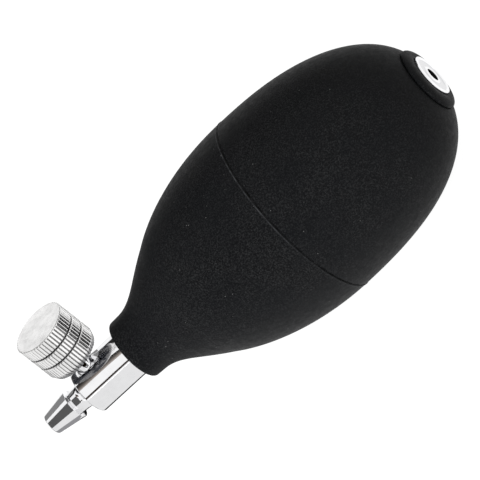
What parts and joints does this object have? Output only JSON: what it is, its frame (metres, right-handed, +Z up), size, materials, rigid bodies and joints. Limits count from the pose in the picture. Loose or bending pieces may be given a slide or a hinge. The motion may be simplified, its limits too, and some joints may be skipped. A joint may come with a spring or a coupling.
{
  "type": "hand inflation bulb with release valve",
  "caption": "Egg-shaped rubber squeeze bulb with a chromed release valve, a knurled thumbscrew, a hose barb and an intake check valve.",
  "frame": {"origin": "on the surface that the belly rests on, under the middle of the object's box", "axes": "+X along the bulb from the hose barb to the intake valve, +Z up through the thumbscrew, +Y completes a right-handed frame"},
  "size_m": [0.124, 0.05, 0.05],
  "materials": {
    "black_rubber": "matte",
    "polished_chrome": "polished",
    "satin_chrome": "satin",
    "turned_brass": "satin",
    "steel_mesh": "satin",
    "seal_rubber": "matte",
    "pale_seal_rubber": "matte",
    "red_fibre": "matte"
  },
  "bodies": {
    "root": {"bulb_shell": "black_rubber", "end_valve_housing": "polished_chrome", "intake_filter_screen": "steel_mesh", "intake_valve_seat": "turned_brass", "intake_valve_cage": "turned_brass", "outlet_valve_cage": "turned_brass", "outlet_valve_seat": "turned_brass", "outlet_seat_o_ring": "seal_rubber", "outlet_filter_screen": "steel_mesh", "outlet_filter_ring": "turned_brass", "valve_body": "polished_chrome", "hose_barb": "polished_chrome", "bonnet_gasket": "red_fibre", "stem_bonnet": "polished_chrome"},
    "seal_pad": {"release_seal_pad": "pale_seal_rubber"},
    "thumbscrew": {"thumbscrew_stem": "turned_brass", "stem_o_ring": "seal_rubber", "thumbscrew_knob": "satin_chrome"},
    "intake_disc": {"intake_valve_disc": "pale_seal_rubber"},
    "outlet_disc": {"outlet_valve_disc": "pale_seal_rubber"}
  },
  "joints": [
    {"name": "thumbscrew_travel", "type": "slide", "parent": "root", "child": "seal_pad", "axis": [0, 0, 1], "range_m": [0, 0.00145]},
    {"name": "thumbscrew_turn", "type": "hinge", "parent": "seal_pad", "child": "thumbscrew", "pos_m": [-0.0451, 0, 0.034], "axis": [0, 0, 1], "range_deg": [0, 720]},
    {"name": "intake_disc_lift", "type": "slide", "parent": "root", "child": "intake_disc", "axis": [-1, 0, 0], "range_m": [0, 0.0008]},
    {"name": "outlet_disc_lift", "type": "slide", "parent": "root", "child": "outlet_disc", "axis": [-1, 0, 0], "range_m": [0, 0.0008]}
  ],
  "couplings": [
    {"joint": "thumbscrew_travel", "follows": "thumbscrew_turn", "m_per_rad": 0.0001114}
  ]
}
